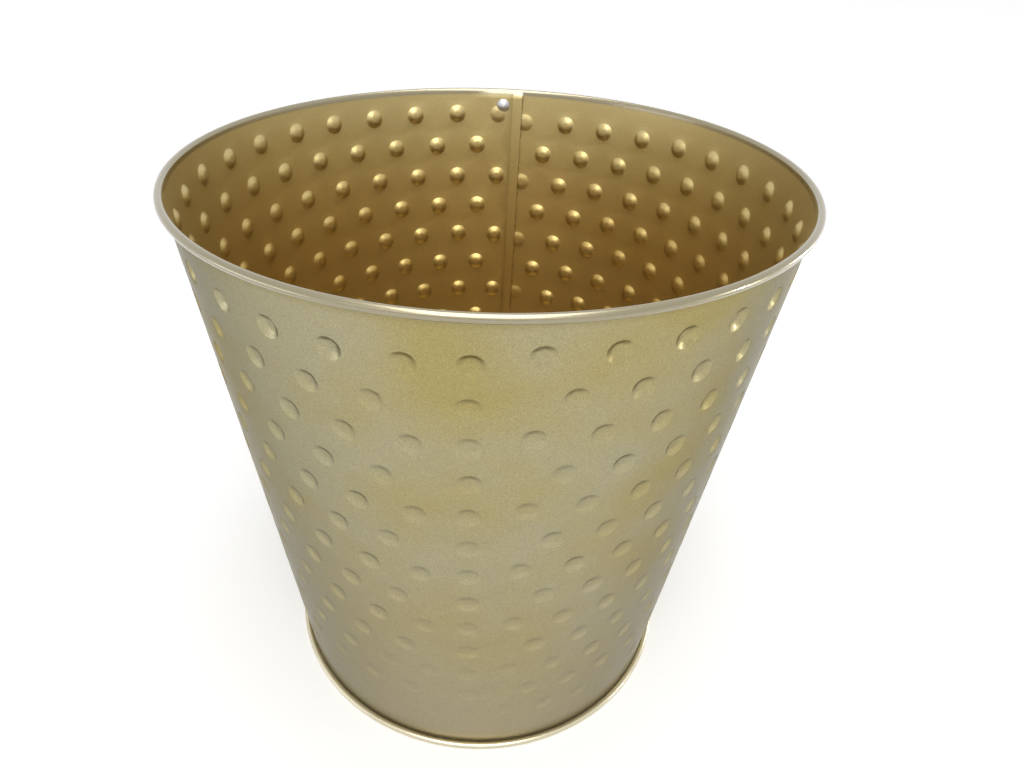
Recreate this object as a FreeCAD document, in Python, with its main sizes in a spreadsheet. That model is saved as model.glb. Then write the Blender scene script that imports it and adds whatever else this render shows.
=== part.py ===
import FreeCAD, Part
import os
from math import atan, cos, degrees, radians, sin, tan

import Sketcher
from FreeCAD import Vector

# A florist's bucket of painted sheet steel. One sheet is rolled into a cone, lapped at the back and
# held there by a rivet. Its top edge is curled outward over a wire. Its foot is turned out into a
# flange, and the edge of the base pan is rolled round that flange. The origin is the middle of the
# ring that the bucket stands on, +Z is up, -Y is the front and the lap is at the back.
# Lengths are in millimetres and angles in degrees.

SIZES = {
    # the whole bucket, and the cone that the wall's outer face lies on
    "bucket_height": 197.0,
    "top_radius": 101.7,
    "foot_radius": 73.5,
    # the two sheets, and the play between faces that are pressed together
    "wall_sheet": 0.45,
    "pan_sheet": 0.45,
    "seat_gap": 0.1,
    # the wired rim: the wire, its play in the curl, and how far the curl turns round it
    "wire_radius": 0.7,
    "wire_gap": 0.15,
    "curl_turn": 292.0,
    # the foot: the bend of the wall's flange, and the raised base with its rounded shoulder
    "bend_radius": 0.2,
    "pan_lift": 5.5,
    "shoulder_radius": 1.5,
    # the lap at the back, from its inner edge, and the hem along that edge, as bearings from +X
    "lap_bearing": 84.7,
    "lap_turn": 9.3,
    "hem_turn": 2.3,
    # the rivet through the lap, set just under the curl
    "rivet_bearing": 89.5,
    "tail_margin": 2.7,
    "shank_radius": 1.2,
    "shank_gap": 0.1,
    "head_radius": 2.9,
    "head_rise": 1.3,
    "tail_radius": 1.7,
    "tail_rise": 0.6,
}

# Sizes that follow from those, as expressions of the document.
LEAN = "atan((sizes.top_radius - sizes.foot_radius) / sizes.bucket_height)"
CURL_BORE = "(sizes.wire_radius + sizes.wire_gap)"
CURL_RADIUS = f"({CURL_BORE} + sizes.wall_sheet)"
CURL_Z = f"(sizes.bucket_height - {CURL_RADIUS})"
WIRE_LINE = (
    f"(sizes.foot_radius + ({CURL_Z} + {CURL_BORE} * sin({LEAN})) * tan({LEAN})"
    f" + {CURL_BORE} * cos({LEAN}))"
)
FLANGE_TOP = "(sizes.pan_sheet + sizes.seat_gap + sizes.wall_sheet)"
ROLL_RADIUS = f"({FLANGE_TOP} + sizes.seat_gap)"
ROLL_STEP = f"({ROLL_RADIUS} + sizes.seat_gap)"
PAN_TOP = "(sizes.pan_lift + sizes.pan_sheet)"
RIVET_Z = f"({CURL_Z} - {CURL_RADIUS} - sizes.tail_margin - sizes.tail_radius)"
RIVET_LINE = f"(sizes.foot_radius + {RIVET_Z} * tan({LEAN}))"
RIVET_SEAT = (
    f"placement(vector({RIVET_LINE} * cos(sizes.rivet_bearing);"
    f" {RIVET_LINE} * sin(sizes.rivet_bearing); {RIVET_Z});"
    f" rotation(sizes.rivet_bearing; {LEAN} - 90 deg; 0))"
)

# Which end or middle of a line or arc a constraint takes hold of.
START, END, MIDDLE = 1, 2, 3
# The sketch's own horizontal axis, vertical axis and origin.
ACROSS, UPRIGHT = -1, -2


def make_sheet(doc):
    """The spreadsheet that holds every driving size under its own name."""
    sheet = doc.addObject("Spreadsheet::Sheet", "sizes")
    for row, (name, value) in enumerate(SIZES.items(), start=1):
        sheet.set(f"A{row}", name)
        sheet.set(f"B{row}", str(value))
        sheet.setAlias(f"B{row}", name)
    doc.recompute()
    return sheet


class Section:
    """A half section of a turned piece, drawn across as radius and up as height."""

    def __init__(self, body, name, bearing=None):
        self.sketch = body.newObject("Sketcher::SketchObject", name)
        planes = body.Origin.OriginFeatures
        upright_plane = next(plane for plane in planes if plane.Role == "XZ_Plane")
        self.sketch.AttachmentSupport = [(upright_plane, "")]
        self.sketch.MapMode = "FlatFace"
        if bearing:
            turned = f"placement(vector(0; 0; 0); rotation(0; {bearing}; 0))"
            self.sketch.setExpression("AttachmentOffset", turned)

    def line(self, start, end, construction=False):
        first = Vector(*start, 0)
        second = Vector(*end, 0)
        return self.sketch.addGeometry(Part.LineSegment(first, second), construction)

    def arc(self, centre, radius, start, end):
        circle = Part.Circle(Vector(*centre, 0), Vector(0, 0, 1), radius)
        return self.sketch.addGeometry(Part.ArcOfCircle(circle, radians(start), radians(end)))

    def tie(self, kind, *what):
        return self.sketch.addConstraint(Sketcher.Constraint(kind, *what))

    def size(self, kind, *what, expression):
        """A dimension bound to the sheet, and the last of what is the value it starts from."""
        index = self.sketch.addConstraint(Sketcher.Constraint(kind, *what))
        self.sketch.setExpression(f"Constraints[{index}]", expression)

    def close(self, corners):
        """Joins the outline's lines and arcs at their corners, smoothly where they are tangent."""
        for corner in corners:
            self.tie(*corner)

    def cone_line(self, values):
        """The line of the wall's outer face, from the floor to the bucket's top."""
        foot = (values.foot_radius, 0.0)
        top = (values.top_radius, values.bucket_height)
        line = self.line(foot, top, construction=True)
        self.tie("PointOnObject", line, START, ACROSS)
        self.size("DistanceX", ACROSS, START, line, START, foot[0], expression="sizes.foot_radius")
        self.size("DistanceX", ACROSS, START, line, END, top[0], expression="sizes.top_radius")
        self.size("DistanceY", ACROSS, START, line, END, top[1], expression="sizes.bucket_height")
        return line


def turn(body, section, name, angle="360"):
    """Turns a section round the bucket's axis, through a bound angle."""
    solid = body.newObject("PartDesign::Revolution", name)
    solid.Profile = section.sketch
    solid.ReferenceAxis = (section.sketch, ["V_Axis"])
    solid.setExpression("Angle", angle)
    return solid


def at(centre, radius, angle):
    """The point of a circle at an angle."""
    return (centre[0] + radius * cos(radians(angle)), centre[1] + radius * sin(radians(angle)))


def lean_of(values):
    """How far the wall leans outward from upright."""
    return degrees(atan((values.top_radius - values.foot_radius) / values.bucket_height))


def beside_wall(values, height, distance):
    """The middle of an arc at a height, standing off the wall's outer face by a distance."""
    lean = radians(lean_of(values))
    radius = values.foot_radius + (height + distance * sin(lean)) * tan(lean) + distance * cos(lean)
    return (radius, height)


def flange_top_of(values):
    """How high the upper face of the wall's flange lies, on the pan's lower layer."""
    return values.pan_sheet + values.seat_gap + values.wall_sheet


def roll_step_of(values):
    """How far the roll's middle stands out from the middle of the flange's bend."""
    return flange_top_of(values) + 2 * values.seat_gap


def draw_wall(body, values):
    """The wall's section: the cone, the curl at its top and the flange at its foot."""
    section = Section(body, "wall_section")
    cone = section.cone_line(values)
    facing = 180 - lean_of(values)
    curl_end = facing - values.curl_turn
    bore = values.wire_radius + values.wire_gap
    outside = bore + values.wall_sheet
    curl_middle = beside_wall(values, values.bucket_height - outside, bore)
    flange_top = flange_top_of(values)
    roll_step = roll_step_of(values)
    outer_bend = values.bend_radius + values.wall_sheet
    bend_middle = beside_wall(values, flange_top + values.bend_radius, values.bend_radius)
    flange_end = bend_middle[0] + roll_step
    under_flange = flange_top - values.wall_sheet

    curl_in = section.arc(curl_middle, bore, curl_end, facing)
    curl_out = section.arc(curl_middle, outside, curl_end, facing)
    curl_cap = section.line(at(curl_middle, bore, curl_end), at(curl_middle, outside, curl_end))
    outer_face = section.line(
        at(curl_middle, bore, facing), at(bend_middle, values.bend_radius, facing)
    )
    bend_in = section.arc(bend_middle, values.bend_radius, facing, 270)
    flange_up = section.line((bend_middle[0], flange_top), (flange_end, flange_top))
    flange_cap = section.line((flange_end, flange_top), (flange_end, under_flange))
    flange_down = section.line((flange_end, under_flange), (bend_middle[0], under_flange))
    bend_out = section.arc(bend_middle, outer_bend, facing, 270)
    inner_face = section.line(at(bend_middle, outer_bend, facing), at(curl_middle, outside, facing))

    section.close([
        ("Coincident", curl_cap, START, curl_in, START),
        ("Coincident", curl_cap, END, curl_out, START),
        ("Tangent", curl_in, END, outer_face, START),
        ("Tangent", outer_face, END, bend_in, START),
        ("Tangent", bend_in, END, flange_up, START),
        ("Coincident", flange_up, END, flange_cap, START),
        ("Coincident", flange_cap, END, flange_down, START),
        ("Tangent", flange_down, END, bend_out, END),
        ("Tangent", bend_out, START, inner_face, START),
        ("Tangent", inner_face, END, curl_out, END),
        ("Coincident", curl_in, MIDDLE, curl_out, MIDDLE),
        ("Coincident", bend_in, MIDDLE, bend_out, MIDDLE),
    ])
    section.tie("PointOnObject", outer_face, START, cone)
    section.tie("PointOnObject", outer_face, END, cone)
    section.tie("PointOnObject", curl_in, MIDDLE, curl_cap)
    section.tie("Horizontal", flange_up)
    section.tie("Horizontal", flange_down)
    section.tie("Vertical", flange_cap)
    section.size("Radius", curl_in, bore, expression=CURL_BORE)
    section.size("Radius", curl_out, outside, expression=CURL_RADIUS)
    section.size("DistanceY", ACROSS, START, curl_in, MIDDLE, curl_middle[1], expression=CURL_Z)
    section.size("Angle", curl_in, radians(values.curl_turn), expression="sizes.curl_turn")
    section.size("Radius", bend_in, values.bend_radius, expression="sizes.bend_radius")
    section.size(
        "Radius", bend_out, outer_bend, expression="sizes.bend_radius + sizes.wall_sheet"
    )
    section.size("DistanceY", ACROSS, START, flange_up, START, flange_top, expression=FLANGE_TOP)
    section.size("DistanceX", bend_in, MIDDLE, flange_up, END, roll_step, expression=ROLL_STEP)
    return section


def draw_strip(body, values, name, bearing, layers):
    """The section of a strip that thickens the wall inward to a number of sheets."""
    section = Section(body, name, bearing)
    cone = section.cone_line(values)
    lean = radians(lean_of(values))
    foot = values.pan_lift + values.pan_sheet + values.seat_gap
    head = values.bucket_height - values.wire_radius - values.wire_gap - values.wall_sheet
    buried = values.wall_sheet / 2
    proud = layers * values.wall_sheet

    def corner(height, depth):
        radius = values.foot_radius + height * tan(lean) - depth / cos(lean)
        return (radius, height)

    corners = [corner(foot, buried), corner(head, buried), corner(head, proud), corner(foot, proud)]
    sides = [section.line(corners[i], corners[(i + 1) % 4]) for i in range(4)]
    outer, top, inner, bottom = sides
    for first, second in zip(sides, sides[1:] + sides[:1]):
        section.tie("Coincident", first, END, second, START)
    section.tie("Horizontal", top)
    section.tie("Horizontal", bottom)
    section.tie("Parallel", outer, cone)
    section.tie("Parallel", inner, cone)
    section.size("Distance", outer, START, cone, buried, expression="sizes.wall_sheet / 2")
    section.size("Distance", inner, START, cone, proud, expression=f"sizes.wall_sheet * {layers}")
    section.size(
        "DistanceY", ACROSS, START, outer, START, foot, expression=f"{PAN_TOP} + sizes.seat_gap"
    )
    section.size("DistanceY", ACROSS, START, outer, END, head, expression=CURL_Z)
    return section


def drill_rivet_hole(body, values):
    """The hole through both sheets of the lap, square to the wall."""
    sketch = body.newObject("Sketcher::SketchObject", "rivet_hole_circle")
    planes = body.Origin.OriginFeatures
    level_plane = next(plane for plane in planes if plane.Role == "XY_Plane")
    sketch.AttachmentSupport = [(level_plane, "")]
    sketch.MapMode = "FlatFace"
    sketch.setExpression("AttachmentOffset", RIVET_SEAT)
    radius = values.shank_radius + values.shank_gap
    circle = sketch.addGeometry(Part.Circle(Vector(0, 0, 0), Vector(0, 0, 1), radius))
    sketch.addConstraint(Sketcher.Constraint("Coincident", circle, MIDDLE, ACROSS, START))
    index = sketch.addConstraint(Sketcher.Constraint("Radius", circle, radius))
    sketch.setExpression(f"Constraints[{index}]", "sizes.shank_radius + sizes.shank_gap")
    hole = body.newObject("PartDesign::Pocket", "rivet_hole")
    hole.Profile = sketch
    hole.Type = "Length"
    hole.Midplane = True
    hole.setExpression("Length", "sizes.wall_sheet * 8")
    return hole


def make_wall(doc, values):
    """The conical wall, one sheet whose inner end laps over the other at the back."""
    body = doc.addObject("PartDesign::Body", "bucket_wall")
    turn(body, draw_wall(body, values), "wall_turned")
    lap = draw_strip(body, values, "lap_section", "sizes.lap_bearing", layers=2)
    turn(body, lap, "lap_turned", "sizes.lap_turn")
    hem = draw_strip(body, values, "hem_section", "sizes.lap_bearing", layers=3)
    turn(body, hem, "hem_turned", "sizes.hem_turn")
    doc.recompute()
    body.Tip = drill_rivet_hole(body, values)
    return body


def draw_pan(body, values):
    """The base pan's section: raised base, shoulder, skirt, and the edge rolled round the flange."""
    section = Section(body, "pan_section")
    cone = section.cone_line(values)
    facing = 180 - lean_of(values)
    lean = radians(lean_of(values))
    flange_top = flange_top_of(values)
    roll = flange_top + values.seat_gap
    roll_bore = roll - values.pan_sheet
    bend_middle = beside_wall(values, flange_top + values.bend_radius, values.bend_radius)
    bend_near = values.bend_radius + values.wall_sheet + values.seat_gap
    bend_far = bend_near + values.pan_sheet
    roll_middle = (bend_middle[0] + roll_step_of(values), roll)
    base_top = values.pan_lift + values.pan_sheet
    shoulder_out = values.shoulder_radius + values.pan_sheet
    skirt_depth = values.wall_sheet + values.seat_gap
    shoulder_z = base_top - shoulder_out
    inset = (skirt_depth + shoulder_out) / cos(lean)
    shoulder_r = values.foot_radius + shoulder_z * tan(lean) - inset
    shoulder = (shoulder_r, shoulder_z)
    out = -lean_of(values)

    base_up = section.line((0, base_top), (shoulder_r, base_top))
    shoulder_up = section.arc(shoulder, shoulder_out, out, 90)
    skirt_near = section.line(at(shoulder, shoulder_out, out), at(bend_middle, bend_near, facing))
    bend_up = section.arc(bend_middle, bend_near, facing, 270)
    floor_up = section.line((bend_middle[0], values.pan_sheet), (roll_middle[0], values.pan_sheet))
    roll_in = section.arc(roll_middle, roll_bore, -90, 180)
    roll_cap = section.line(at(roll_middle, roll_bore, 180), at(roll_middle, roll, 180))
    roll_out = section.arc(roll_middle, roll, -90, 180)
    floor_down = section.line((roll_middle[0], 0), (bend_middle[0], 0))
    bend_down = section.arc(bend_middle, bend_far, facing, 270)
    skirt_far = section.line(
        at(bend_middle, bend_far, facing), at(shoulder, values.shoulder_radius, out)
    )
    shoulder_down = section.arc(shoulder, values.shoulder_radius, out, 90)
    base_down = section.line((shoulder_r, values.pan_lift), (0, values.pan_lift))
    axis_side = section.line((0, values.pan_lift), (0, base_top))

    section.close([
        ("Tangent", base_up, END, shoulder_up, END),
        ("Tangent", shoulder_up, START, skirt_near, START),
        ("Tangent", skirt_near, END, bend_up, START),
        ("Tangent", bend_up, END, floor_up, START),
        ("Tangent", floor_up, END, roll_in, START),
        ("Coincident", roll_in, END, roll_cap, START),
        ("Coincident", roll_cap, END, roll_out, END),
        ("Tangent", roll_out, START, floor_down, START),
        ("Tangent", floor_down, END, bend_down, END),
        ("Tangent", bend_down, START, skirt_far, START),
        ("Tangent", skirt_far, END, shoulder_down, START),
        ("Tangent", shoulder_down, END, base_down, START),
        ("Coincident", base_down, END, axis_side, START),
        ("Coincident", axis_side, END, base_up, START),
        ("Coincident", shoulder_up, MIDDLE, shoulder_down, MIDDLE),
        ("Coincident", bend_up, MIDDLE, bend_down, MIDDLE),
        ("Coincident", roll_in, MIDDLE, roll_out, MIDDLE),
    ])
    section.tie("PointOnObject", base_up, START, UPRIGHT)
    section.tie("PointOnObject", base_down, END, UPRIGHT)
    section.tie("Horizontal", base_up)
    section.tie("Horizontal", base_down)
    section.tie("Horizontal", floor_up)
    section.tie("Horizontal", floor_down)
    section.tie("Horizontal", roll_cap)
    section.tie("PointOnObject", roll_in, MIDDLE, roll_cap)
    section.tie("Parallel", skirt_near, cone)
    section.size(
        "Distance", skirt_near, START, cone, skirt_depth,
        expression="sizes.wall_sheet + sizes.seat_gap"
    )
    section.size("DistanceY", ACROSS, START, base_up, START, base_top, expression=PAN_TOP)
    section.size(
        "DistanceY", ACROSS, START, base_down, END, values.pan_lift, expression="sizes.pan_lift"
    )
    section.size(
        "Radius", shoulder_down, values.shoulder_radius, expression="sizes.shoulder_radius"
    )
    section.size(
        "DistanceY", ACROSS, START, floor_up, START, values.pan_sheet, expression="sizes.pan_sheet"
    )
    section.tie("PointOnObject", floor_down, END, ACROSS)
    section.size(
        "Radius", bend_up, bend_near,
        expression="sizes.bend_radius + sizes.wall_sheet + sizes.seat_gap"
    )
    section.size("Radius", roll_out, roll, expression=ROLL_RADIUS)
    section.size(
        "DistanceX", bend_up, MIDDLE, roll_in, MIDDLE, roll_step_of(values), expression=ROLL_STEP
    )
    return section


def make_pan(doc, values):
    """The base pan, raised off the floor, with its edge rolled round the wall's flange."""
    body = doc.addObject("PartDesign::Body", "base_pan")
    body.Tip = turn(body, draw_pan(body, values), "pan_turned")
    return body


def make_wire(doc):
    """The wire that the wall's top edge is curled over."""
    wire = doc.addObject("Part::Torus", "rim_wire")
    wire.setExpression("Radius1", WIRE_LINE)
    wire.setExpression("Radius2", "sizes.wire_radius")
    wire.setExpression("Placement.Base.z", CURL_Z)
    return wire


def make_rivet(doc):
    """The rivet through the lap: its domed head inside the bucket, its flat tail outside."""
    dome = "((sizes.head_radius ^ 2 + sizes.head_rise ^ 2) / (2 * sizes.head_rise))"
    head_seat = "(2 * sizes.wall_sheet + sizes.seat_gap)"
    shank = doc.addObject("Part::Cylinder", "rivet_shank")
    shank.setExpression("Radius", "sizes.shank_radius")
    shank.setExpression("Height", f"sizes.tail_rise + {head_seat} + sizes.head_rise / 2")
    shank.setExpression("Placement.Base.z", "-sizes.tail_rise")
    tail = doc.addObject("Part::Cylinder", "rivet_tail")
    tail.setExpression("Radius", "sizes.tail_radius")
    tail.setExpression("Height", "sizes.tail_rise")
    tail.setExpression("Placement.Base.z", "-sizes.tail_rise - sizes.seat_gap")
    head = doc.addObject("Part::Sphere", "rivet_head")
    head.setExpression("Radius", dome)
    head.setExpression("Angle1", f"asin(({dome} - sizes.head_rise) / {dome})")
    head.setExpression("Placement.Base.z", f"{head_seat} - {dome} + sizes.head_rise")
    rivet = doc.addObject("Part::MultiFuse", "seam_rivet")
    rivet.Shapes = [shank, tail, head]
    rivet.setExpression("Placement", RIVET_SEAT)
    return rivet


def check(doc, pieces):
    """Stops before anything is written if an object failed or a piece is not one good solid."""
    for item in doc.Objects:
        if "Invalid" in item.State or "Error" in item.State:
            raise RuntimeError(f"{item.Name} failed: {item.State}")
    for item in doc.Objects:
        if item.TypeId == "Sketcher::SketchObject" and not item.FullyConstrained:
            raise RuntimeError(f"{item.Name} is not fully constrained")
    for piece in pieces:
        if piece.Shape.isNull() or not piece.Shape.isValid():
            raise RuntimeError(f"{piece.Label} has no valid shape")
        if len(piece.Shape.Solids) != 1:
            raise RuntimeError(f"{piece.Label} has {len(piece.Shape.Solids)} solids")


doc = FreeCAD.newDocument("florist_bucket")
sizes = make_sheet(doc)
pieces = [make_wall(doc, sizes), make_pan(doc, sizes), make_wire(doc), make_rivet(doc)]
for piece in pieces:
    piece.Label = piece.Name
doc.recompute()
check(doc, pieces)

os.makedirs("parts", exist_ok=True)
for piece in pieces:
    piece.Shape.exportStep(f"parts/{piece.Label}.step")
    box = piece.Shape.BoundBox
    print(f"{piece.Label}: {piece.Shape.Volume:.1f} mm3, z {box.ZMin:.3f} to {box.ZMax:.3f},"
          f" x {box.XMin:.3f} to {box.XMax:.3f}")
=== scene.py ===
import random
from math import atan, atan2, cos, degrees, exp, hypot, pi, radians, sin, tan

import bmesh
import bpy
import numpy as np
from mathutils import Matrix, Vector


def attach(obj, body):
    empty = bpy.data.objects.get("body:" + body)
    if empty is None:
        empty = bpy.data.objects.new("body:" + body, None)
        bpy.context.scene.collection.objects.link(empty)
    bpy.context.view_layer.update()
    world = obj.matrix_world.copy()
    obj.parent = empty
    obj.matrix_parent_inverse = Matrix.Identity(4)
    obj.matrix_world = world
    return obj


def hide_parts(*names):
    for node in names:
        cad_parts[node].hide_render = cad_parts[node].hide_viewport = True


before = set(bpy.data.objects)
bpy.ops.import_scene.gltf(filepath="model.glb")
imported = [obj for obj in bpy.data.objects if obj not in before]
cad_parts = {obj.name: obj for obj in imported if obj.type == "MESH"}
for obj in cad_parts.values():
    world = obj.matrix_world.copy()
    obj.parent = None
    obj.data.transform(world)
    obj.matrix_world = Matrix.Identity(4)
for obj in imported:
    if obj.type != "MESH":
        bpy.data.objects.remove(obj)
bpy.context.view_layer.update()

# ---------------------------------------------------------------------------------------------
# The stand: a pale floor that goes over to white, the studio's lamps and the camera.
# The camera looks down into the bucket's mouth from close by.
# ---------------------------------------------------------------------------------------------


def shader(name):
    """A new material, and the Principled shader that is all it starts with."""
    material = bpy.data.materials.new(name)
    material.use_nodes = True
    nodes = material.node_tree.nodes
    nodes.clear()
    output = nodes.new("ShaderNodeOutputMaterial")
    surface = nodes.new("ShaderNodeBsdfPrincipled")
    material.node_tree.links.new(surface.outputs["BSDF"], output.inputs["Surface"])
    return material, surface


def seen_directly(nodes, links):
    """1 for rays from the lens and rays in gloss or glass, 0 for the rays that light things."""
    path = nodes.new("ShaderNodeLightPath")
    either = nodes.new("ShaderNodeMath")
    either.operation = "MAXIMUM"
    links.new(path.outputs["Is Camera Ray"], either.inputs[0])
    links.new(path.outputs["Is Glossy Ray"], either.inputs[1])
    any_of = nodes.new("ShaderNodeMath")
    any_of.operation = "MAXIMUM"
    links.new(either.outputs[0], any_of.inputs[0])
    links.new(path.outputs["Is Transmission Ray"], any_of.inputs[1])
    return any_of.outputs[0]


def studio_floor():
    """A floor of plain pale paint, which keeps the bucket's shadow. It is near white to the lens,
    and clear from below."""
    material, paint = shader("studio_white")
    nodes, links = material.node_tree.nodes, material.node_tree.links
    paint.inputs["Base Color"].default_value = (0.80, 0.80, 0.80, 1)
    paint.inputs["Roughness"].default_value = 0.9
    paint.inputs["Emission Color"].default_value = (1, 1, 1, 1)
    away = nodes.new("ShaderNodeVectorMath")
    away.operation = "LENGTH"
    links.new(nodes.new("ShaderNodeTexCoord").outputs["Object"], away.inputs[0])
    far = nodes.new("ShaderNodeMapRange")
    far.inputs["From Min"].default_value = 0.25
    far.inputs["From Max"].default_value = 1.6
    far.inputs["To Min"].default_value = 0.36
    far.inputs["To Max"].default_value = 0.75
    links.new(away.outputs["Value"], far.inputs["Value"])
    glow = nodes.new("ShaderNodeMath")
    glow.operation = "MULTIPLY"
    links.new(seen_directly(nodes, links), glow.inputs[0])
    links.new(far.outputs["Result"], glow.inputs[1])
    links.new(glow.outputs[0], paint.inputs["Emission Strength"])
    clear = nodes.new("ShaderNodeBsdfTransparent")
    side = nodes.new("ShaderNodeMixShader")
    links.new(nodes.new("ShaderNodeNewGeometry").outputs["Backfacing"], side.inputs["Fac"])
    links.new(paint.outputs["BSDF"], side.inputs[1])
    links.new(clear.outputs["BSDF"], side.inputs[2])
    links.new(side.outputs["Shader"], nodes["Material Output"].inputs["Surface"])
    floor = bpy.data.objects.new("studio_floor", bpy.data.meshes.new("studio_floor"))
    bpy.context.scene.collection.objects.link(floor)
    shape = bmesh.new()
    bmesh.ops.create_grid(shape, x_segments=2, y_segments=2, size=6)
    shape.to_mesh(floor.data)
    shape.free()
    floor.data.materials.append(material)


def studio_air():
    """White all round to the lens and in gloss, and a dimmer, even light on everything."""
    world = bpy.data.worlds.new("studio_air")
    world.use_nodes = True
    nodes, links = world.node_tree.nodes, world.node_tree.links
    background = nodes["Background"]
    background.inputs["Color"].default_value = (1, 1, 1, 1)
    level = nodes.new("ShaderNodeMapRange")
    level.inputs["To Min"].default_value = 0.18
    level.inputs["To Max"].default_value = 1.0
    links.new(seen_directly(nodes, links), level.inputs["Value"])
    links.new(level.outputs["Result"], background.inputs["Strength"])
    bpy.context.scene.world = world


def studio_lamp(name, where, aim, width, height, watts, colour=(1, 1, 1)):
    lamp = bpy.data.lights.new(name, "AREA")
    lamp.shape = "RECTANGLE"
    lamp.size = width
    lamp.size_y = height
    lamp.energy = watts
    lamp.color = colour
    holder = bpy.data.objects.new(name, lamp)
    bpy.context.scene.collection.objects.link(holder)
    holder.location = where
    away = Vector(where) - Vector(aim)
    holder.rotation_euler = away.to_track_quat("Z", "Y").to_euler()


def studio_camera():
    """The camera stands a little to the right of the bucket's front, close above the rim."""
    bearing = radians(2.0)
    reach, rise = 0.2460, 0.2774
    yaw, pitch, roll = 0.0051, -0.4988, 0.0333
    ahead = Vector((sin(yaw) * cos(pitch), cos(yaw) * cos(pitch), sin(pitch)))
    level = Vector((cos(yaw), -sin(yaw), 0))
    upward = level.cross(ahead)
    across = cos(roll) * level + sin(roll) * upward
    above = cos(roll) * upward - sin(roll) * level
    turned = Matrix.Rotation(bearing, 3, "Z")
    placed = Matrix((turned @ across, turned @ above, turned @ -ahead)).transposed().to_4x4()
    placed.translation = turned @ Vector((0, -reach, rise))
    lens = bpy.data.cameras.new("camera")
    lens.sensor_width = 36
    lens.lens = 27.23
    lens.shift_x = 0.0208
    lens.shift_y = -0.0778
    lens.clip_start = 0.01
    camera = bpy.data.objects.new("camera", lens)
    bpy.context.scene.collection.objects.link(camera)
    camera.matrix_world = placed
    bpy.context.scene.camera = camera


studio_floor()
studio_camera()
studio_air()
studio_lamp("overhead", (0.0, -0.35, 1.3), (0, 0, 0.1), 0.8, 1.7, 17)
studio_lamp("front", (-0.1, -1.3, 0.9), (0, 0, 0.15), 2.2, 0.6, 2.4)
studio_lamp("side_right", (0.93, -0.16, 0.17), (0.05, 0, 0.15), 0.05, 0.05, 1.1)
studio_lamp("side_right_far", (0.88, 0.32, 0.17), (0.05, 0, 0.15), 0.05, 0.05, 1.1)
studio_lamp("side_left", (-1.25, -0.45, 0.17), (0, 0, 0.12), 0.9, 0.3, 1.5, (0.93, 0.96, 1))
bpy.context.scene.view_settings.view_transform = "Standard"

# ---------------------------------------------------------------------------------------------
# The wall: one fan-shaped sheet of thin steel, embossed all over with round dots while flat,
# then rolled into a cone and lapped at the back. Its top edge is curled outward over a wire and
# its foot is turned out into a flange. It is painted thin metallic gold on both faces.
# ---------------------------------------------------------------------------------------------

MM = 0.001
bucket_height = 197.0 * MM
top_radius = 101.7 * MM
foot_radius = 73.5 * MM
wall_sheet = 0.45 * MM
pan_sheet = 0.45 * MM
seat_gap = 0.1 * MM
curl_bore = 0.85 * MM
curl_turn = radians(292)
# the curl's sheet is this much thinner, which keeps the rim within the plain bucket's size
curl_thinning = 0.98
bend_radius = 0.2 * MM

lean = atan((top_radius - foot_radius) / bucket_height)
curl_radius = curl_bore + wall_sheet
flange_top = pan_sheet + seat_gap + wall_sheet


def beside_wall(height, distance):
    """A point at a height, standing off the wall's outer face by a distance: radius and height."""
    radius = foot_radius + (height + distance * sin(lean)) * tan(lean) + distance * cos(lean)
    return Vector((radius, height))


curl_middle = beside_wall(bucket_height - curl_radius, curl_bore)
bend_middle = beside_wall(flange_top + bend_radius, bend_radius)
roll_radius = flange_top + seat_gap
roll_step = roll_radius + seat_gap
outward = Vector((cos(lean), -sin(lean)))
downward = Vector((-sin(lean), -cos(lean)))
straight_top = curl_middle - outward * curl_bore
straight_foot = bend_middle - outward * bend_radius
straight = (straight_top - straight_foot).length
apex = straight_top.x / sin(lean)
curl_length = curl_turn * (curl_bore + wall_sheet / 2)
bend_length = (pi / 2 - lean) * (bend_radius + wall_sheet / 2)
flange_length = roll_step


def wall_profile(along, depth):
    """A point of the sheet's section. along runs down the outer face from the foot of the curl,
    and is less than 0 in the curl. depth is how far inside the outer face the point is."""
    if along < 0:
        depth *= curl_thinning
        turned = -along / (curl_bore + wall_sheet / 2)
        angle = pi - lean - turned
        return curl_middle + (curl_bore + depth) * Vector((cos(angle), sin(angle)))
    if along <= straight:
        return straight_top + downward * along - outward * depth
    if along < straight + bend_length:
        angle = pi - lean + (along - straight) / bend_length * (pi / 2 - lean)
        return bend_middle + (bend_radius + depth) * Vector((cos(angle), sin(angle)))
    return Vector((bend_middle.x + along - straight - bend_length, flange_top - depth))


# bearings round the bucket, in degrees from its front, and below zero on its left: the sheet's two
# ends, the hem folded on the inner one, and the edge where the curl and the flange meet themselves
inner_end = -185.3
hem_edge = -183.1
hem_crease = hem_edge + 0.3
butt = 174.5
outer_end = 184.0

# how far the outer end stops short of the curl and of the bend, along the wall
notch = 1.2 * MM
outer_end_foot = straight - 1.9 * MM

# the lap: the play between the sheet's ends, and where each one steps aside and over how many
# degrees. The inner end steps inward, but below the lap's change the outer one steps outward
lap_play = 0.05 * MM
inner_step = (-173.9, 2.0)
outer_step = (butt, 1.2)
lap_change_top = 14 * MM
lap_change_length = 5 * MM
hem_taper = 1 * MM

dot_radius = 3.75 * MM
dot_depth = 1.65 * MM
# each ring of a dot, from its edge to its top: how wide and how deep, as parts of the whole dot
dot_rings = ((1.06, 0.0), (0.90, 0.23), (0.62, 0.66), (0.30, 0.93))
row_count = 13
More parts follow.
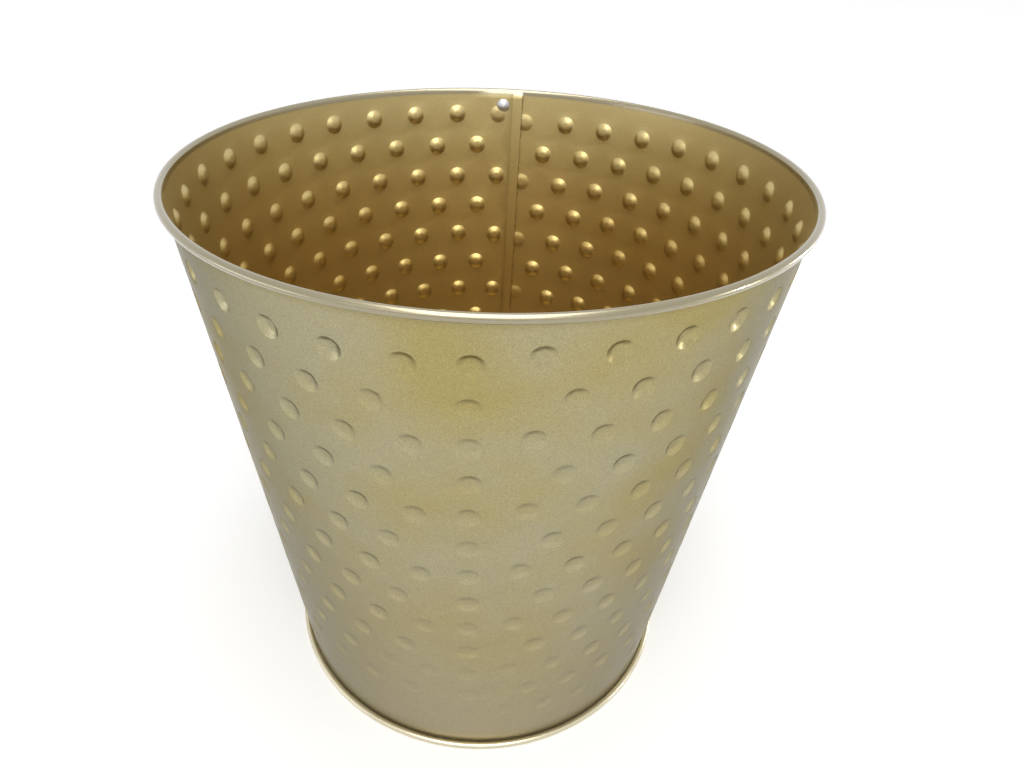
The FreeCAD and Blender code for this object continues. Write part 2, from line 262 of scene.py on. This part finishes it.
# how far down the wall the first row is, and how far apart the rows are, at bearings, in mm
first_row = ((-185, 9.75), (-92, 10.05), (-50, 13.55), (-30, 15.35), (-8, 15.75), (0, 14.95),
             (9.7, 12.15), (40, 12.75), (55, 13.55), (90, 11.85), (184, 12.75))
row_spacing = ((-185, 13.75), (-90, 13.7), (-40, 13.4), (90, 13.45), (184, 13.55))
# the first row's dots on each side of the one at the front, by number: their bearings
right_bearings = ((0, 9.7), (4, 52.0), (8, 90.2), (16, 173.6))
left_bearings = ((0, -9.2), (3, -41.2), (8, -93.0), (16, -179.5))
dots_to_a_side = 17
last_between = 178.6


def spread(anchors, where):
    """A value that changes evenly between a few anchor points."""
    return float(np.interp(where, [a[0] for a in anchors], [a[1] for a in anchors]))


def row_line(row, bearing):
    """How far down the wall the middle of a row of dots is. The rows wander a little."""
    return (spread(first_row, bearing) + spread(row_spacing, bearing) * row) * MM


def dot_bearings():
    """Bearings of the dots of the first row, and of the ones that stand between them."""
    right = [spread(right_bearings, n) for n in range(dots_to_a_side)]
    left = [spread(left_bearings, n) for n in reversed(range(dots_to_a_side))]
    right_between = [(a + b) / 2 for a, b in zip(right, right[1:])] + [last_between]
    left_between = [(a + b) / 2 for a, b in zip(left, left[1:])]
    return left, right, left_between, right_between


left_dots, right_dots, left_between, right_between = dot_bearings()
half_step = right_dots[0] / 2
# the bearings at which cells may meet: every dot, and close together at the folds and edges. A gap
# of more degrees than wide_gap is split in cell_parts, and so are the sides of a cell
wide_gap = 2.5
cell_parts = 3
knots = sorted([inner_end, hem_edge, hem_crease, -half_step, 0.0, half_step,
                butt - 0.45, butt - 0.2, butt, butt + 0.5, outer_end]
               + left_dots + right_dots + left_between + right_between)


class Blank:
    """The flat sheet as cells, whose corners lie on knots and row lines, before it is embossed."""

    def __init__(self):
        self.points = []
        self.index = {}
        self.faces = []
        self.centres = []
        self.strengths = []

    def point(self, bearing, along):
        key = (round(bearing, 5), round(along, 8))
        if key not in self.index:
            self.index[key] = len(self.points)
            reach = apex - along
            swing = radians(bearing) * sin(lean)
            self.points.append((reach * sin(swing), reach * cos(swing), 0.0))
        return self.index[key]

    def bearings(self, first, last):
        """The stops along a row line from one knot to another, with wide gaps split in parts."""
        stops = [k for k in knots if first - 1e-6 <= k <= last + 1e-6]
        out = [stops[0]]
        for a, b in zip(stops, stops[1:]):
            parts = cell_parts if b - a > wide_gap else 1
            out += [a + (b - a) * n / parts for n in range(1, parts + 1)]
        return out

    def cell(self, first, last, top, foot, dot=None, strength=0.0):
        """One cell between two knots and two row lines, and the dot in it, if it has one."""
        across = self.bearings(first, last)
        lower = [self.point(b, foot(b)) for b in across]
        upper = [self.point(b, top(b)) for b in reversed(across)]
        right = [self.point(last, foot(last) + (top(last) - foot(last)) * n / cell_parts)
                 for n in range(1, cell_parts)]
        left = [self.point(first, top(first) + (foot(first) - top(first)) * n / cell_parts)
                for n in range(1, cell_parts)]
        self.faces.append(lower + right + upper + left)
        if dot:
            swing = radians(dot[0]) * sin(lean)
            reach = apex - dot[1]
            self.centres.append((reach * sin(swing), reach * cos(swing), 0.0))
        else:
            self.centres.append((0.0, 0.0, 0.0))
        self.strengths.append(strength)

    def strip(self, first, last, top, foot):
        """A plain band of the sheet between two lines, one cell to each space."""
        across = self.bearings(first, last)
        for a, b in zip(across, across[1:]):
            self.faces.append([self.point(a, foot(a)), self.point(b, foot(b)),
                               self.point(b, top(b)), self.point(a, top(a))])
            self.centres.append((0.0, 0.0, 0.0))
            self.strengths.append(0.0)


def dot_strength(row, bearing, chance):
    """How deep a dot is pressed, as a part of the whole depth. It fades towards the foot, most of
    all at the front, and the dots on the lap and beside it are flattened, so that it closes."""
    strength = 1.0 - 0.025 * row + chance.uniform(-0.12, 0.06)
    if bearing > butt:
        return 0.25
    if bearing == right_dots[-1]:
        return 0.35
    if row == 0 and bearing == left_dots[0]:
        return 0.4
    if row > 0:
        strength -= (0.28 + 0.028 * row) * exp(-(bearing / 55) ** 2)
    return strength


def lay_out_blank():
    """The whole sheet: the curl's strip, the rows of dots, and the flange's strip."""
    blank = Blank()
    chance = random.Random(8)

    def line(row):
        return lambda bearing: (row_line(row, bearing) + row_line(row + 1, bearing)) / 2

    def level(along):
        return lambda bearing: along

    lines = [line(row) for row in range(-1, row_count)]
    curl_strips = 18
    for n in range(curl_strips, 0, -1):
        blank.strip(inner_end, butt, level(-curl_length * n / curl_strips),
                    level(-curl_length * (n - 1) / curl_strips))
    blank.strip(inner_end, butt, level(0.0), level(notch))
    blank.strip(inner_end, outer_end, level(notch), lines[0])
    for row in range(row_count):
        top, foot = lines[row], lines[row + 1]
        if row % 2 == 0:
            dots = left_dots + [0.0] + right_dots
            sides = [hem_crease] + left_between + [-half_step, half_step] + right_between
            blank.cell(right_between[-1], outer_end, top, foot)
        else:
            dots = left_between + [0.0] + right_between
            sides = left_dots + right_dots + [outer_end]
            blank.cell(hem_crease, left_dots[0], top, foot)
        for dot, first, last in zip(dots, sides, sides[1:]):
            strength = dot_strength(row, dot, chance)
            place = (dot + chance.uniform(-0.15, 0.15),
                     row_line(row, dot) + chance.uniform(-0.25, 0.25) * MM)
            blank.cell(first, last, top, foot, place, strength)
        blank.cell(inner_end, hem_edge, top, foot)
        blank.cell(hem_edge, hem_crease, top, foot)
    blank.strip(inner_end, outer_end, lines[row_count], level(outer_end_foot))
    blank.strip(inner_end, butt, level(outer_end_foot), level(straight))
    bend_strips = 4
    for n in range(bend_strips):
        blank.strip(inner_end, butt, level(straight + bend_length * n / bend_strips),
                    level(straight + bend_length * (n + 1) / bend_strips))
    blank.strip(inner_end, butt, level(straight + bend_length),
                level(straight + bend_length + flange_length))
    return blank


def emboss_tree(material):
    """Geometry nodes that press a dot into each marked cell of a flat blank, ring by ring."""
    tree = bpy.data.node_groups.new("emboss_dots", "GeometryNodeTree")
    for name, kind, way in (("Blank", "NodeSocketGeometry", "INPUT"),
                            ("Dot radius", "NodeSocketFloat", "INPUT"),
                            ("Dot depth", "NodeSocketFloat", "INPUT"),
                            ("Sheet", "NodeSocketGeometry", "OUTPUT")):
        tree.interface.new_socket(name, in_out=way, socket_type=kind)
    nodes, links = tree.nodes, tree.links
    given = nodes.new("NodeGroupInput")

    def attribute(name, kind):
        node = nodes.new("GeometryNodeInputNamedAttribute")
        node.data_type = kind
        node.inputs["Name"].default_value = name
        return node.outputs["Attribute"]

    def maths(operation, *values):
        node = nodes.new("ShaderNodeMath")
        node.operation = operation
        for socket, value in zip(node.inputs, values):
            if isinstance(value, (int, float)):
                socket.default_value = value
            else:
                links.new(value, socket)
        return node.outputs[0]

    def vector_maths(operation, *values):
        node = nodes.new("ShaderNodeVectorMath")
        node.operation = operation
        for socket, value in zip(node.inputs, values):
            links.new(value, socket)
        return node

    centre = attribute("dot_centre", "FLOAT_VECTOR")
    strength = attribute("dot_strength", "FLOAT")
    geometry = given.outputs["Blank"]
    chosen = maths("GREATER_THAN", strength, 0.01)
    for width, deepness in dot_rings:
        press = nodes.new("GeometryNodeExtrudeMesh")
        press.mode = "FACES"
        press.inputs["Offset Scale"].default_value = 0
        press.inputs["Individual"].default_value = True
        links.new(geometry, press.inputs["Mesh"])
        links.new(chosen, press.inputs["Selection"])
        place = nodes.new("GeometryNodeInputPosition").outputs["Position"]
        flat = vector_maths("MULTIPLY", vector_maths("SUBTRACT", place, centre).outputs[0])
        flat.inputs[1].default_value = (1, 1, 0)
        unit = vector_maths("NORMALIZE", flat.outputs[0]).outputs[0]
        scaled = nodes.new("ShaderNodeVectorMath")
        scaled.operation = "SCALE"
        links.new(unit, scaled.inputs[0])
        links.new(maths("MULTIPLY", given.outputs["Dot radius"], width), scaled.inputs["Scale"])
        sunk = maths("MULTIPLY", maths("MULTIPLY", given.outputs["Dot depth"], strength),
                     -deepness)
        drop = nodes.new("ShaderNodeCombineXYZ")
        links.new(sunk, drop.inputs["Z"])
        around = vector_maths("ADD", centre, scaled.outputs[0]).outputs[0]
        target = vector_maths("ADD", around, drop.outputs[0]).outputs[0]
        move = nodes.new("GeometryNodeSetPosition")
        links.new(press.outputs["Mesh"], move.inputs["Geometry"])
        links.new(press.outputs["Top"], move.inputs["Selection"])
        links.new(target, move.inputs["Position"])
        geometry = move.outputs["Geometry"]
        chosen = press.outputs["Top"]
    real = nodes.new("GeometryNodeRealizeInstances")
    paint = nodes.new("GeometryNodeSetMaterial")
    paint.inputs["Material"].default_value = material
    links.new(geometry, real.inputs["Geometry"])
    links.new(real.outputs["Geometry"], paint.inputs["Geometry"])
    result = nodes.new("NodeGroupOutput")
    links.new(paint.outputs["Geometry"], result.inputs["Sheet"])
    return tree


def embossed_sheet(blank, material):
    """The flat blank after the press: a plain mesh, with each dot sunk below the sheet."""
    mesh = bpy.data.meshes.new("blank")
    mesh.from_pydata(blank.points, [], blank.faces)
    centre = mesh.attributes.new("dot_centre", "FLOAT_VECTOR", "FACE")
    centre.data.foreach_set("vector", np.array(blank.centres, np.float32).ravel())
    strength = mesh.attributes.new("dot_strength", "FLOAT", "FACE")
    strength.data.foreach_set("value", np.array(blank.strengths, np.float32))
    sheet = bpy.data.objects.new("blank", mesh)
    bpy.context.scene.collection.objects.link(sheet)
    tree = emboss_tree(material)
    modifier = sheet.modifiers.new("emboss", "NODES")
    modifier.node_group = tree
    inputs = {item.name: item.identifier for item in tree.interface.items_tree}
    modifier[inputs["Dot radius"]] = dot_radius
    modifier[inputs["Dot depth"]] = dot_depth
    bpy.context.view_layer.update()
    evaluated = sheet.evaluated_get(bpy.context.evaluated_depsgraph_get())
    pressed = bpy.data.meshes.new_from_object(evaluated)
    bpy.data.objects.remove(sheet)
    return pressed


def smooth_step(value):
    value = min(max(value, 0.0), 1.0)
    return value * value * (3 - 2 * value)


def lap_depth(bearing, along):
    """How far the sheet steps inward, where one of its ends lies over the other."""
    step = wall_sheet + lap_play
    height = straight - along
    proud_at_foot = smooth_step((lap_change_top - height) / lap_change_length)
    if bearing > butt + 0.1:
        start, length = outer_step
        return -step * proud_at_foot * smooth_step((bearing - start) / length)
    start, length = inner_step
    return (step * smooth_step((start - bearing) / length) * smooth_step(along / notch)
            * (1 - proud_at_foot))


def hem_depth(bearing, along):
    """The inner end is folded back under itself, which lifts its inner face by a sheet."""
    if bearing > hem_edge + 0.1 or along < 0 or along > outer_end_foot:
        return 0.0
    return (wall_sheet * smooth_step(along / notch)
            * smooth_step((outer_end_foot - along) / hem_taper))


def rolled(point, inside):
    """Where a point of the pressed sheet comes to lie when the sheet is rolled and curled."""
    bearing = degrees(atan2(point[0], point[1])) / sin(lean)
    along = apex - hypot(point[0], point[1])
    depth = -point[2] + lap_depth(bearing, along)
    if inside:
        depth += wall_sheet + hem_depth(bearing, along)
    radius, height = wall_profile(along, depth)
    turned = radians(bearing)
    return (radius * sin(turned), -radius * cos(turned), height)


def seam_shadow(point):
    """Painted shade on the inner face: in the gap where the folded end stands on the other end,
    and along the hem's crease.
    """
    bearing = degrees(atan2(point[0], point[1])) / sin(lean)
    along = apex - hypot(point[0], point[1])
    if along < notch * 0.5 or along > straight:
        return 0.0
    if abs(bearing - hem_crease) < 0.1:
        return 0.3
    return 0.6 if butt - 0.05 < bearing < butt + 2 else 0.0


def area_normals(points, faces):
    """The normal at each point, in which wide faces count for more, so flat parts stay flat."""
    places = np.array(points)
    total = np.zeros_like(places)
    for face in faces:
        ring = places[list(face)]
        total[list(face)] += np.cross(ring, np.roll(ring, -1, axis=0)).sum(axis=0)
    return total / np.linalg.norm(total, axis=1)[:, None]


def roll_up(pressed, name, outside, inside):
    """The pressed sheet, with its thickness, rolled into the wall: one closed solid."""
    flat = [tuple(vertex.co) for vertex in pressed.vertices]
    loops = [tuple(face.vertices) for face in pressed.polygons]
    count = len(flat)
    points = [rolled(point, False) for point in flat] + [rolled(point, True) for point in flat]
    skins = loops + [tuple(count + v for v in reversed(loop)) for loop in loops]
    sides = dict.fromkeys((a, b) for loop in loops for a, b in zip(loop, loop[1:] + loop[:1]))
    cut = [(b, a, count + a, count + b) for a, b in sides if (b, a) not in sides]
    mesh = bpy.data.meshes.new(name)
    mesh.from_pydata(points, [], skins + cut)
    mesh.materials.append(outside)
    mesh.materials.append(inside)
    mesh.polygons.foreach_set("use_smooth", np.ones(len(skins) + len(cut), bool))
    paint = np.zeros(len(skins) + len(cut), np.int32)
    paint[len(loops):2 * len(loops)] = 1
    mesh.polygons.foreach_set("material_index", paint)
    mesh.update()
    # painted shade for the gap at the lap, kept on the inner face's points only
    painted_seam_shade = mesh.attributes.new("painted_seam_shade", "FLOAT", "POINT")
    dark = [0.0] * count + [seam_shadow(point) for point in flat]
    painted_seam_shade.data.foreach_set("value", np.array(dark, np.float32))
    skin_normals = area_normals(points, skins)
    corners = [tuple(skin_normals[v]) for face in skins for v in face]
    for n in range(len(skins), len(skins) + len(cut)):
        corners += [tuple(mesh.polygons[n].normal)] * 4
    mesh.normals_split_custom_set(corners)
    wall = bpy.data.objects.new(name, mesh)
    bpy.context.scene.collection.objects.link(wall)
    return wall


class Coat:
    """Nodes that vary a coat of paint, or bare metal, by the place on the piece."""

    def __init__(self, material):
        self.nodes = material.node_tree.nodes
        self.links = material.node_tree.links
        self.place = self.nodes.new("ShaderNodeTexCoord").outputs["Object"]

    def noise(self, scale, detail, stretch=(1, 1, 1)):
        mapping = self.nodes.new("ShaderNodeMapping")
        mapping.inputs["Scale"].default_value = stretch
        self.links.new(self.place, mapping.inputs["Vector"])
        node = self.nodes.new("ShaderNodeTexNoise")
        node.inputs["Scale"].default_value = scale
        node.inputs["Detail"].default_value = detail
        self.links.new(mapping.outputs["Vector"], node.inputs["Vector"])
        return node.outputs["Fac"]

    def height(self):
        split = self.nodes.new("ShaderNodeSeparateXYZ")
        self.links.new(self.place, split.inputs["Vector"])
        return split.outputs["Z"]

    def ramp(self, value, low, high, to_low=0.0, to_high=1.0):
        """A value that goes from to_low to to_high while the given one goes from low to high."""
        node = self.nodes.new("ShaderNodeMapRange")
        node.inputs["From Min"].default_value = low
        node.inputs["From Max"].default_value = high
        node.inputs["To Min"].default_value = to_low
        node.inputs["To Max"].default_value = to_high
        self.links.new(value, node.inputs["Value"])
        return node.outputs["Result"]

    def blend(self, amount, first, second, way="MIX"):
        """Two colours blended. Each of the three may be a fixed value or the output of a node."""
        node = self.nodes.new("ShaderNodeMix")
        node.data_type = "RGBA"
        node.blend_type = way
        colours = [socket for socket in node.inputs if socket.type == "RGBA"]
        for socket, value in zip([node.inputs["Factor"]] + colours, (amount, first, second)):
            if isinstance(value, (float, tuple)):
                socket.default_value = value
            else:
                self.links.new(value, socket)
        return [socket for socket in node.outputs if socket.type == "RGBA"][0]

    def grained(self, colour, grain, dark, light):
        """A colour that is darker and lighter with the grain."""
        return self.blend(1.0, colour, self.ramp(grain, 0.3, 0.7, dark, light), "MULTIPLY")

    def roughen(self, surface, value, strength):
        """Shallow bumps on a surface, 0.2 mm high at full strength."""
        node = self.nodes.new("ShaderNodeBump")
        node.inputs["Strength"].default_value = strength
        node.inputs["Distance"].default_value = 0.2 * MM
        self.links.new(value, node.inputs["Height"])
        self.links.new(node.outputs["Normal"], surface.inputs["Normal"])


def outside_gold():
    """Half-gloss gold with a fine silvery grain and soft greyer patches. It is painted lighter and
    greyer towards the foot, a painted reflection of the floor, and has a painted shade under the
    rim."""
    material, paint = shader("gold_paint_outside")
    coat = Coat(material)
    patches = coat.ramp(coat.noise(19, 3, (1, 1, 1.3)), 0.38, 0.62)
    colour = coat.blend(patches, (0.385, 0.345, 0.205, 1), (0.38, 0.312, 0.120, 1))
    # painted reflection: lighter and greyer towards the foot, standing in for the pale floor's
    # reflection
    foot = coat.ramp(coat.height(), 0.0, 0.13, 1, 0)
    colour = coat.blend(foot, colour, (0.44, 0.385, 0.245, 1))
    # painted shade: darker in the gap under the rim, where the curl shades the wall
    painted_shade_under_rim = coat.ramp(coat.height(), 0.1915, 0.1940, 0, 0.6)
    colour = coat.blend(painted_shade_under_rim, colour, (0.28, 0.23, 0.09, 1))
    grain = coat.noise(3200, 2)
    colour = coat.grained(colour, grain, 0.80, 1.14)
    coat.links.new(colour, paint.inputs["Base Color"])
    coat.links.new(coat.ramp(grain, 0.3, 0.7, 0.44, 0.32), paint.inputs["Roughness"])
    coat.roughen(paint, grain, 0.10)
    paint.inputs["Metallic"].default_value = 0.9
    paint.inputs["Specular Tint"].default_value = (0.28, 0.29, 0.33, 1)
    paint.inputs["Coat Weight"].default_value = 0.22
    paint.inputs["Coat Roughness"].default_value = 0.06
    return material


def inside_gold():
    """The same gold sprayed thinner and duller inside. It is smooth and bright on the curl.
    Painted light makes it lighter towards the rim, and painted shade darkens the gap at the lap.
    """
    material, paint = shader("gold_paint_inside")
    coat = Coat(material)
    patches = coat.ramp(coat.noise(20, 3), 0.35, 0.65)
    colour = coat.blend(patches, (0.53, 0.38, 0.135, 1), (0.55, 0.41, 0.155, 1))
    # painted light: lighter and yellower towards the rim, where more light falls
    painted_light_near_rim = coat.ramp(coat.height(), 0.14, 0.195, 0, 0.8)
    colour = coat.blend(painted_light_near_rim, colour, (0.55, 0.46, 0.23, 1))
    grain = coat.noise(2600, 2)
    colour = coat.grained(colour, grain, 0.88, 1.08)
    # painted shade: darker where the attribute marks the lap's gap and the hem's crease
    painted_seam_shade = coat.nodes.new("ShaderNodeAttribute")
    painted_seam_shade.attribute_name = "painted_seam_shade"
    colour = coat.blend(painted_seam_shade.outputs["Fac"], colour, (0.22, 0.155, 0.055, 1))
    curl = coat.ramp(coat.height(), 0.1943, 0.1951)
    colour = coat.blend(curl, colour, (0.31, 0.27, 0.17, 1))
    coat.links.new(colour, paint.inputs["Base Color"])
    coat.links.new(coat.ramp(curl, 0, 1, 0.40, 0.25), paint.inputs["Roughness"])
    coat.links.new(curl, paint.inputs["Coat Weight"])
    coat.roughen(paint, grain, 0.08)
    paint.inputs["Coat Roughness"].default_value = 0.15
    paint.inputs["Metallic"].default_value = 0.92
    return material


outside_paint = outside_gold()
inside_paint = inside_gold()
pressed_sheet = embossed_sheet(lay_out_blank(), outside_paint)
wall = roll_up(pressed_sheet, "embossed_wall", outside_paint, inside_paint)
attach(wall, "root")
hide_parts("bucket_wall")

# ---------------------------------------------------------------------------------------------
# The base pan: a round floor pressed from thin steel, with a rounded shoulder and a skirt. The
# skirt's edge is rolled over the wall's flange from below, which makes the bead at the foot.
# It is sprayed the same gold as the wall.
# ---------------------------------------------------------------------------------------------

pan_lift = 5.5 * MM
shoulder_radius = 1.5 * MM
pan_top = pan_lift + pan_sheet


def arc_points(middle, radius, first, last, steps):
    """Points along an arc of the section, in degrees from the radius line, counterclockwise."""
    return [middle + radius * Vector((cos(radians(first + (last - first) * n / steps)),
                                      sin(radians(first + (last - first) * n / steps))))
            for n in range(steps + 1)]


def pan_section():
    """The pan's section, round its whole outline, from the middle of its underside."""
    face = -degrees(lean)
    skirt = wall_sheet + seat_gap
    shoulder = beside_wall(pan_top - shoulder_radius - pan_sheet,
                           -skirt - pan_sheet - shoulder_radius)
    bend_out = bend_radius + skirt
    roll = Vector((bend_middle.x + roll_step, roll_radius))
    underside = [Vector((0, pan_lift))]
    underside += arc_points(shoulder, shoulder_radius, 90, face, 6)
    underside += arc_points(bend_middle, bend_out + pan_sheet, 180 + face, 270, 8)
    underside += arc_points(roll, roll_radius, -90, 180, 18)
    upper = arc_points(roll, roll_radius - pan_sheet, 180, -90, 14)
    upper += arc_points(bend_middle, bend_out, 270, 180 + face, 6)
    upper += arc_points(shoulder, shoulder_radius + pan_sheet, face, 90, 8)
    upper += [Vector((0, pan_top))]
    return underside + upper


def turned_solid(name, section, around, material):
    """A solid of revolution, whose section starts and ends on the axis. It runs outside round."""
    shape = bmesh.new()
    rings = []
    for place in section:
        if place.x < 1e-9:
            rings.append([shape.verts.new((0, 0, place.y))] * around)
            continue
        rings.append([shape.verts.new((place.x * sin(2 * pi * n / around),
                                       -place.x * cos(2 * pi * n / around), place.y))
                      for n in range(around)])
    for low, high in zip(rings, rings[1:]):
        for n in range(around):
            m = (n + 1) % around
            corners = []
            for vertex in (low[n], low[m], high[m], high[n]):
                if vertex not in corners:
                    corners.append(vertex)
            if len(corners) > 2:
                shape.faces.new(corners)
    bmesh.ops.recalc_face_normals(shape, faces=shape.faces)
    mesh = bpy.data.meshes.new(name)
    shape.to_mesh(mesh)
    shape.free()
    mesh.materials.append(material)
    mesh.polygons.foreach_set("use_smooth", np.ones(len(mesh.polygons), bool))
    mesh.set_sharp_from_angle(angle=radians(50))
    solid = bpy.data.objects.new(name, mesh)
    bpy.context.scene.collection.objects.link(solid)
    return solid


def pan_gold():
    """The same gold, painted paler on the rolled edge at the foot as a painted highlight, and
    duller on the floor of the pan.
    """
    material, paint = shader("gold_paint_base")
    coat = Coat(material)
    patches = coat.ramp(coat.noise(30, 3), 0.35, 0.65)
    colour = coat.blend(patches, (0.40, 0.30, 0.110, 1), (0.43, 0.335, 0.135, 1))
    grain = coat.noise(2600, 2)
    colour = coat.grained(colour, grain, 0.88, 1.08)
    # painted highlight: the roll at the foot is painted paler; it is also smoother
    painted_bead_highlight = coat.ramp(coat.height(), 0.0022, 0.0026, 1, 0)
    colour = coat.blend(painted_bead_highlight, colour, (0.66, 0.60, 0.44, 1))
    coat.links.new(colour, paint.inputs["Base Color"])
    coat.links.new(coat.ramp(painted_bead_highlight, 0, 1, 0.58, 0.22), paint.inputs["Roughness"])
    coat.roughen(paint, grain, 0.08)
    paint.inputs["Metallic"].default_value = 0.92
    return material


pan = turned_solid("rolled_pan", pan_section(), 240, pan_gold())
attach(pan, "root")
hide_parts("base_pan")

# ---------------------------------------------------------------------------------------------
# The rim wire: a ring of drawn steel wire inside the curl of the wall, which stiffens the rim.
# It is bare steel, and shows only as a line in the gap under the curl.
# ---------------------------------------------------------------------------------------------


def wire_steel():
    """Bare drawn steel, a little uneven."""
    material, steel = shader("drawn_steel")
    coat = Coat(material)
    streaks = coat.noise(900, 2)
    colour = coat.blend(streaks, (0.50, 0.49, 0.47, 1), (0.62, 0.61, 0.60, 1))
    coat.links.new(colour, steel.inputs["Base Color"])
    coat.links.new(coat.ramp(streaks, 0.3, 0.7, 0.30, 0.42), steel.inputs["Roughness"])
    steel.inputs["Metallic"].default_value = 1.0
    return material


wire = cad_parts["rim_wire"]
wire.data.materials.clear()
wire.data.materials.append(wire_steel())

# ---------------------------------------------------------------------------------------------
# The seam rivet: a domed aluminium rivet through both ends of the wall near the rim, put in
# from inside after painting, so it is bare. Its tail is set flat on the outside.
# ---------------------------------------------------------------------------------------------


def rivet_aluminium():
    """Bare aluminium, dull and a little scuffed."""
    material, metal = shader("bare_aluminium")
    coat = Coat(material)
    scuffs = coat.noise(1400, 3)
    colour = coat.blend(scuffs, (0.50, 0.50, 0.53, 1), (0.66, 0.66, 0.68, 1))
    coat.links.new(colour, metal.inputs["Base Color"])
    coat.links.new(coat.ramp(scuffs, 0.3, 0.7, 0.40, 0.55), metal.inputs["Roughness"])
    coat.roughen(metal, scuffs, 0.15)
    metal.inputs["Metallic"].default_value = 0.85
    return material


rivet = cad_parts["seam_rivet"]
rivet.data.materials.clear()
rivet.data.materials.append(rivet_aluminium())
